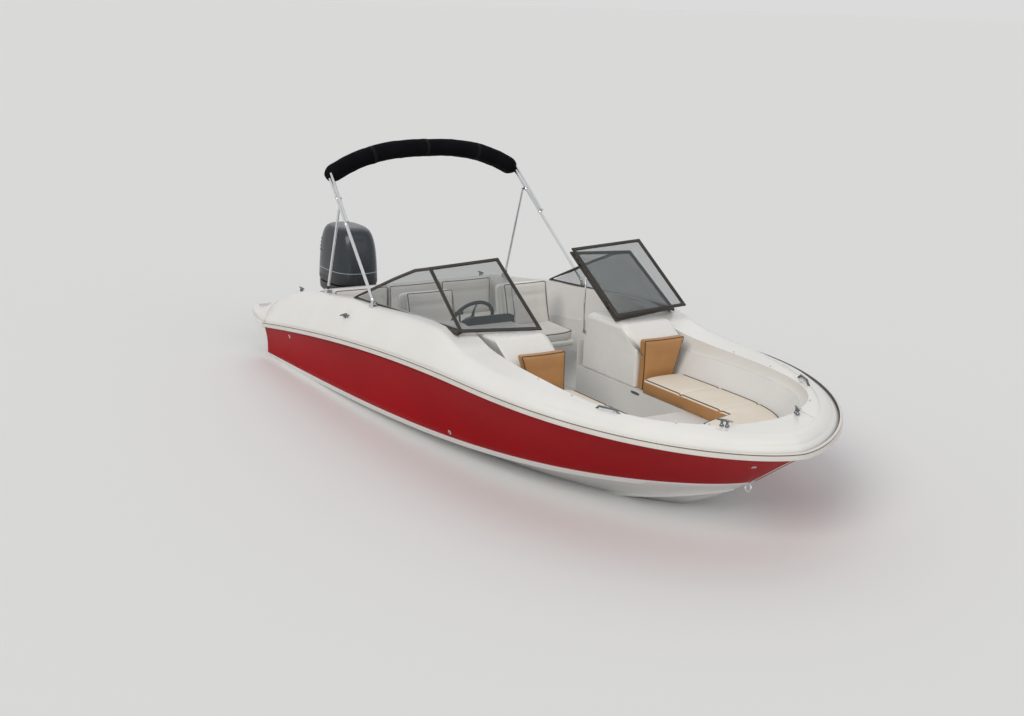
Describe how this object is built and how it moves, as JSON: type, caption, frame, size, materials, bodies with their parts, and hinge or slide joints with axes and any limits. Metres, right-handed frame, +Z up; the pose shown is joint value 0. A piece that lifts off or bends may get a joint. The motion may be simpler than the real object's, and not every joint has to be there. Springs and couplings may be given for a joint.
{
  "type": "outboard bowrider speedboat",
  "caption": "Open bowrider runabout with a swept windshield, folded canvas top on raised bows, bow and cockpit seating and a single outboard motor on the transom.",
  "frame": {"origin": "on the centreline amidships at the static waterline", "axes": "+X towards the bow, +Y to port, +Z up"},
  "size_m": [6.8498, 2.4894, 2.883],
  "materials": {
    "hull_gelcoat": "high-gloss gelcoat, deep red topsides over a white bottom",
    "gelcoat_white": "glossy white gelcoat",
    "liner_grey": "satin pale grey moulded liner",
    "rail_black": "black vinyl rail with a bright insert",
    "frame_bronze": "dark anodised extrusion",
    "pane_glass": "lightly tinted safety glass",
    "stainless": "polished stainless steel",
    "canvas_black": "woven acrylic canvas",
    "vinyl_pale": "sewn marine vinyl",
    "vinyl_caramel": "sewn marine vinyl",
    "dash_black": "grained black plastic",
    "motor_grey": "metallic dark grey paint",
    "motor_black": "satin black paint"
  },
  "bodies": {
    "root": {"hull": "hull_gelcoat", "deck": "gelcoat_white", "cockpit_liner": "liner_grey", "rub_rail": "rail_black", "splash_well": "gelcoat_white", "swim_platform_port": "gelcoat_white", "swim_platform_stbd": "gelcoat_white", "console_port": "gelcoat_white", "console_stbd": "gelcoat_white", "dash_pod": "dash_black", "bow_cushion_port": "vinyl_pale", "bow_cushion_stbd": "vinyl_pale", "bow_backrest_port": "vinyl_caramel", "bow_backrest_stbd": "vinyl_caramel", "seat_pedestal_port": "stainless", "seat_pedestal_stbd": "stainless", "bench_base": "liner_grey", "bench_cushion": "vinyl_pale", "bench_backrest": "vinyl_pale", "windshield_frame_port": "frame_bronze", "windshield_frame_stbd": "frame_bronze", "windshield_strut_port": "frame_bronze", "windshield_strut_stbd": "frame_bronze", "windshield_glass_port_front": "pane_glass", "windshield_glass_port_side": "pane_glass", "windshield_glass_stbd_front": "pane_glass", "windshield_glass_stbd_side": "pane_glass", "bimini_mount_port": "stainless", "bimini_mount_stbd": "stainless", "bimini_strut_mount_port": "stainless", "bimini_strut_mount_stbd": "stainless", "cleat_bow_port": "stainless", "cleat_bow_stbd": "stainless", "cleat_stern_port": "stainless", "cleat_stern_stbd": "stainless", "grab_handle_port": "stainless", "grab_handle_stbd": "stainless", "bow_eye": "stainless", "motor_clamp_bracket": "motor_black"},
    "gate": {"windshield_gate": "frame_bronze", "windshield_gate_glass": "pane_glass"},
    "top": {"bimini_boot": "canvas_black", "bimini_leg_port": "stainless", "bimini_leg_stbd": "stainless", "bimini_second_leg_port": "stainless", "bimini_second_leg_stbd": "stainless"},
    "top_strut_port": {"bimini_strut_port": "stainless"},
    "top_strut_stbd": {"bimini_strut_stbd": "stainless"},
    "seat_port": {"seat_port": "vinyl_pale"},
    "seat_stbd": {"seat_stbd": "vinyl_pale"},
    "wheel": {"steering_wheel": "dash_black"},
    "motor_tilt": {"motor_swivel_bracket": "motor_black"},
    "motor_steer": {"motor_midsection": "motor_grey", "motor_gearcase": "motor_grey", "motor_pan": "motor_black", "motor_cowl": "motor_grey", "motor_powerhead": "motor_black"},
    "propeller": {"propeller": "stainless"},
    "tilt_cylinder": {"tilt_cylinder": "motor_black"},
    "tilt_rod": {"tilt_rod": "stainless"}
  },
  "joints": [
    {"name": "gate_swing", "type": "hinge", "parent": "root", "child": "gate", "pos_m": [0.57783, 0.327, 0.98281], "axis": [-0.8406, 0, 0.5416], "range_deg": [-176, 0]},
    {"name": "top_fold", "type": "hinge", "parent": "root", "child": "top", "pos_m": [-0.83, 0, 0.92844], "axis": [0, 1, 0], "range_deg": [0, 42]},
    {"name": "top_strut_port_fold", "type": "hinge", "parent": "top", "child": "top_strut_port", "pos_m": [-1.6932, 0.89881, 1.64353], "axis": [0, 1, 0], "range_deg": [-62, 0]},
    {"name": "top_strut_stbd_fold", "type": "hinge", "parent": "top", "child": "top_strut_stbd", "pos_m": [-1.6932, -0.89881, 1.64353], "axis": [0, 1, 0], "range_deg": [-62, 0]},
    {"name": "seat_port_swivel", "type": "hinge", "parent": "root", "child": "seat_port", "pos_m": [-0.72, 0.46, 0.46], "axis": [0, 0, 1], "range_deg": [-180, 180]},
    {"name": "seat_stbd_swivel", "type": "hinge", "parent": "root", "child": "seat_stbd", "pos_m": [-0.72, -0.46, 0.46], "axis": [0, 0, 1], "range_deg": [-180, 180]},
    {"name": "motor_tilt_hinge", "type": "hinge", "parent": "root", "child": "motor_tilt", "pos_m": [-2.945, 0, 0.235], "axis": [0, 1, 0], "range_deg": [0, 60]},
    {"name": "motor_steer_hinge", "type": "hinge", "parent": "motor_tilt", "child": "motor_steer", "pos_m": [-3.06, 0, 0], "axis": [0, 0, 1], "range_deg": [-30, 30]},
    {"name": "propeller_spin", "type": "hinge", "parent": "motor_steer", "child": "propeller", "pos_m": [-3.44, 0, -0.575], "axis": [1, 0, 0], "continuous": true},
    {"name": "wheel_turn", "type": "hinge", "parent": "root", "child": "wheel", "pos_m": [-0.12, -0.52, 0.9], "axis": [0.8829, 0, -0.4695], "range_deg": [-545, 545]},
    {"name": "tilt_cylinder_pivot", "type": "hinge", "parent": "root", "child": "tilt_cylinder", "pos_m": [-2.945, 0, -0.075], "axis": [0, 1, 0], "range_deg": [-15, 15]},
    {"name": "tilt_rod_slide", "type": "slide", "parent": "tilt_cylinder", "child": "tilt_rod", "axis": [-0.1636, 0, 0.9865], "range_m": [0, 0.1008]}
  ],
  "couplings": [
    {"joint": "wheel_turn", "follows": "motor_steer_hinge", "ratio": 18},
    {"joint": "tilt_cylinder_pivot", "follows": "motor_tilt_hinge", "ratio": -0.1866},
    {"joint": "tilt_rod_slide", "follows": "motor_tilt_hinge", "m_per_rad": 0.09432},
    {"joint": "top_strut_port_fold", "follows": "top_fold", "ratio": -1.45},
    {"joint": "top_strut_stbd_fold", "follows": "top_fold", "ratio": -1.45}
  ]
}
